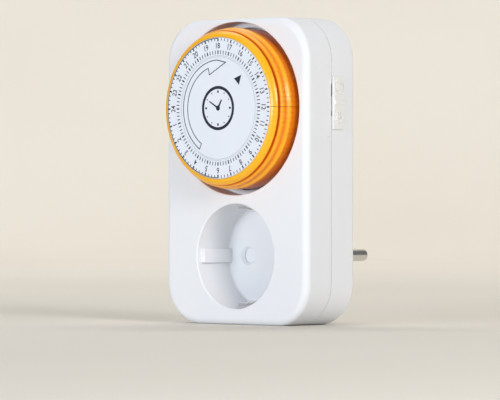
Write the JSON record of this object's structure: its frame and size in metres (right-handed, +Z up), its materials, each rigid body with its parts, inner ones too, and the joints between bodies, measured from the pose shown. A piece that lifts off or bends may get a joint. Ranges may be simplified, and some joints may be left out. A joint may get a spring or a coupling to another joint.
{
  "type": "mechanical segment timer",
  "caption": "Plug-in mechanical 24 hour timer with a push-segment dial, a pass-through earthed outlet and plug, and a side slide switch.",
  "frame": {"origin": "on the plug axis, midway between the two plug pins, in the plane of the housing's rear face", "axes": "+X right and +Z up as seen from the front (dial above outlet), +Y along the plug pins into the wall"},
  "size_m": [0.0746, 0.0722, 0.1152],
  "materials": {
    "housing": "satin ABS, fine spark-eroded grain",
    "dial_white": "smooth satin, dark printed scale",
    "inner_white": "satin",
    "switch_white": "satin",
    "segment_orange": "semi-gloss, slightly translucent",
    "dark_plastic": "matte",
    "gear_plastic": "waxy acetal",
    "clutch_red": "waxy acetal",
    "lead_blue": "PVC insulation",
    "steel": "zinc-plated sheet",
    "screw_steel": "zinc-plated",
    "nickel": "nickel-plated brass",
    "brass": "stamped strip",
    "copper": "enamelled copper wire",
    "magnet": "sintered ferrite"
  },
  "bodies": {
    "root": {"front_shell": "housing", "rear_shell": "housing", "case_screws": "screw_steel", "centre_disc": "dial_white", "centre_post": "steel", "gear_plate_front": "steel", "gear_plate_rear": "steel", "gear_axles": "steel", "motor_can": "steel", "motor_pole_plate": "steel", "motor_bobbin": "dark_plastic", "motor_winding": "copper", "motor_leads": "lead_blue", "slide_detent_spring": "steel", "live_bus": "brass", "switched_bus": "brass", "neutral_contact": "brass", "live_contact": "brass", "plug_pins": "nickel", "earth_clips": "nickel", "earth_strap": "nickel", "shutter_spring": "steel", "shutter_cover": "inner_white"},
    "dial": {"dial_carrier": "inner_white", "number_ring": "dial_white"},
    "drive_pinion": {"final_pinion": "gear_plastic"},
    "rotor": {"motor_rotor": "magnet"},
    "gear_1_body": {"gear_1": "gear_plastic"},
    "gear_2_body": {"gear_2": "gear_plastic"},
    "gear_3_body": {"gear_3": "gear_plastic"},
    "gear_4_body": {"gear_4": "gear_plastic"},
    "clutch_body": {"clutch_gear": "clutch_red"},
    "slide_button_body": {"slide_button": "switch_white"},
    "lever": {"switch_lever": "dark_plastic"},
    "contact_leaf": {"moving_contact": "brass"},
    "shutter_body": {"shutter": "inner_white"},
    "hour_01": {"segments_h01": "segment_orange"},
    "hour_02": {"segments_h02": "segment_orange"},
    "hour_03": {"segments_h03": "segment_orange"},
    "hour_04": {"segments_h04": "segment_orange"},
    "hour_05": {"segments_h05": "segment_orange"},
    "hour_06": {"segments_h06": "segment_orange"},
    "hour_07": {"segments_h07": "segment_orange"},
    "hour_08": {"segments_h08": "segment_orange"},
    "hour_09": {"segments_h09": "segment_orange"},
    "hour_10": {"segments_h10": "segment_orange"},
    "hour_11": {"segments_h11": "segment_orange"},
    "hour_12": {"segments_h12": "segment_orange"},
    "hour_13": {"segments_h13": "segment_orange"},
    "hour_14": {"segments_h14": "segment_orange"},
    "hour_15": {"segments_h15": "segment_orange"},
    "hour_16": {"segments_h16": "segment_orange"},
    "hour_17": {"segments_h17": "segment_orange"},
    "hour_18": {"segments_h18": "segment_orange"},
    "hour_19": {"segments_h19": "segment_orange"},
    "hour_20": {"segments_h20": "segment_orange"},
    "hour_21": {"segments_h21": "segment_orange"},
    "hour_22": {"segments_h22": "segment_orange"},
    "hour_23": {"segments_h23": "segment_orange"},
    "hour_24": {"segments_h24": "segment_orange"}
  },
  "joints": [
    {"name": "dial_spin", "type": "hinge", "parent": "root", "child": "dial", "pos_m": [0, 0, 0.0556], "axis": [0, 1, 0], "continuous": true},
    {"name": "final_pinion_spin", "type": "hinge", "parent": "root", "child": "drive_pinion", "pos_m": [0.00875, 0, 0.07076], "axis": [0, 1, 0], "continuous": true},
    {"name": "rotor_spin", "type": "hinge", "parent": "root", "child": "rotor", "pos_m": [-0.01541, 0, 0.03214], "axis": [0, -1, 0], "continuous": true},
    {"name": "gear_1_spin", "type": "hinge", "parent": "root", "child": "gear_1_body", "pos_m": [-0.01828, 0, 0.04839], "axis": [0, 1, 0], "continuous": true},
    {"name": "gear_2_spin", "type": "hinge", "parent": "root", "child": "gear_2_body", "pos_m": [-0.02378, 0, 0.05792], "axis": [0, 1, 0], "continuous": true},
    {"name": "gear_3_spin", "type": "hinge", "parent": "root", "child": "gear_3_body", "pos_m": [-0.01477, 0, 0.06423], "axis": [0, 1, 0], "continuous": true},
    {"name": "gear_4_spin", "type": "hinge", "parent": "root", "child": "gear_4_body", "pos_m": [-0.00394, 0, 0.06614], "axis": [0, 1, 0], "continuous": true},
    {"name": "clutch_gear_spin", "type": "hinge", "parent": "root", "child": "clutch_body", "pos_m": [0.00875, 0, 0.07076], "axis": [0, 1, 0], "continuous": true},
    {"name": "slide_button_slide", "type": "slide", "parent": "root", "child": "slide_button_body", "axis": [0, 0, -1], "range_m": [-0.004, 0]},
    {"name": "switch_lever_tilt", "type": "hinge", "parent": "root", "child": "lever", "pos_m": [0.028, -0.0095, 0.039], "axis": [1, 0, 0], "range_deg": [0, 8.7]},
    {"name": "contact_flex", "type": "hinge", "parent": "root", "child": "contact_leaf", "pos_m": [0.028, -0.008, 0.046], "axis": [1, 0, 0], "range_deg": [0, 3.95]},
    {"name": "shutter_turn", "type": "hinge", "parent": "root", "child": "shutter_body", "pos_m": [0, 0, 0], "axis": [0, 1, 0], "range_deg": [0, 35], "stiffness_Nm_per_rad": 0.002},
    {"name": "hour_01_push", "type": "slide", "parent": "dial", "child": "hour_01", "axis": [0, 1, 0], "range_m": [0, 0.003]},
    {"name": "hour_02_push", "type": "slide", "parent": "dial", "child": "hour_02", "axis": [0, 1, 0], "range_m": [0, 0.003]},
    {"name": "hour_03_push", "type": "slide", "parent": "dial", "child": "hour_03", "axis": [0, 1, 0], "range_m": [0, 0.003]},
    {"name": "hour_04_push", "type": "slide", "parent": "dial", "child": "hour_04", "axis": [0, 1, 0], "range_m": [0, 0.003]},
    {"name": "hour_05_push", "type": "slide", "parent": "dial", "child": "hour_05", "axis": [0, 1, 0], "range_m": [0, 0.003]},
    {"name": "hour_06_push", "type": "slide", "parent": "dial", "child": "hour_06", "axis": [0, 1, 0], "range_m": [0, 0.003]},
    {"name": "hour_07_push", "type": "slide", "parent": "dial", "child": "hour_07", "axis": [0, 1, 0], "range_m": [0, 0.003]},
    {"name": "hour_08_push", "type": "slide", "parent": "dial", "child": "hour_08", "axis": [0, 1, 0], "range_m": [0, 0.003]},
    {"name": "hour_09_push", "type": "slide", "parent": "dial", "child": "hour_09", "axis": [0, 1, 0], "range_m": [0, 0.003]},
    {"name": "hour_10_push", "type": "slide", "parent": "dial", "child": "hour_10", "axis": [0, 1, 0], "range_m": [0, 0.003]},
    {"name": "hour_11_push", "type": "slide", "parent": "dial", "child": "hour_11", "axis": [0, 1, 0], "range_m": [0, 0.003]},
    {"name": "hour_12_push", "type": "slide", "parent": "dial", "child": "hour_12", "axis": [0, 1, 0], "range_m": [0, 0.003]},
    {"name": "hour_13_push", "type": "slide", "parent": "dial", "child": "hour_13", "axis": [0, 1, 0], "range_m": [0, 0.003]},
    {"name": "hour_14_push", "type": "slide", "parent": "dial", "child": "hour_14", "axis": [0, 1, 0], "range_m": [0, 0.003]},
    {"name": "hour_15_push", "type": "slide", "parent": "dial", "child": "hour_15", "axis": [0, 1, 0], "range_m": [0, 0.003]},
    {"name": "hour_16_push", "type": "slide", "parent": "dial", "child": "hour_16", "axis": [0, 1, 0], "range_m": [0, 0.003]},
    {"name": "hour_17_push", "type": "slide", "parent": "dial", "child": "hour_17", "axis": [0, 1, 0], "range_m": [0, 0.003]},
    {"name": "hour_18_push", "type": "slide", "parent": "dial", "child": "hour_18", "axis": [0, 1, 0], "range_m": [0, 0.003]},
    {"name": "hour_19_push", "type": "slide", "parent": "dial", "child": "hour_19", "axis": [0, 1, 0], "range_m": [0, 0.003]},
    {"name": "hour_20_push", "type": "slide", "parent": "dial", "child": "hour_20", "axis": [0, 1, 0], "range_m": [0, 0.003]},
    {"name": "hour_21_push", "type": "slide", "parent": "dial", "child": "hour_21", "axis": [0, 1, 0], "range_m": [0, 0.003]},
    {"name": "hour_22_push", "type": "slide", "parent": "dial", "child": "hour_22", "axis": [0, 1, 0], "range_m": [0, 0.003]},
    {"name": "hour_23_push", "type": "slide", "parent": "dial", "child": "hour_23", "axis": [0, 1, 0], "range_m": [0, 0.003]},
    {"name": "hour_24_push", "type": "slide", "parent": "dial", "child": "hour_24", "axis": [0, 1, 0], "range_m": [0, 0.003]}
  ],
  "couplings": [
    {"joint": "final_pinion_spin", "follows": "dial_spin", "ratio": 4.5},
    {"joint": "gear_1_spin", "follows": "rotor_spin", "ratio": 0.1},
    {"joint": "gear_2_spin", "follows": "rotor_spin", "ratio": -0.01},
    {"joint": "gear_3_spin", "follows": "rotor_spin", "ratio": 0.001},
    {"joint": "gear_4_spin", "follows": "rotor_spin", "ratio": -0.0001},
    {"joint": "clutch_gear_spin", "follows": "rotor_spin", "ratio": 0.0000125},
    {"joint": "switch_lever_tilt", "follows": "slide_button_slide", "rad_per_m": -37.5},
    {"joint": "contact_flex", "follows": "slide_button_slide", "rad_per_m": -17}
  ]
}
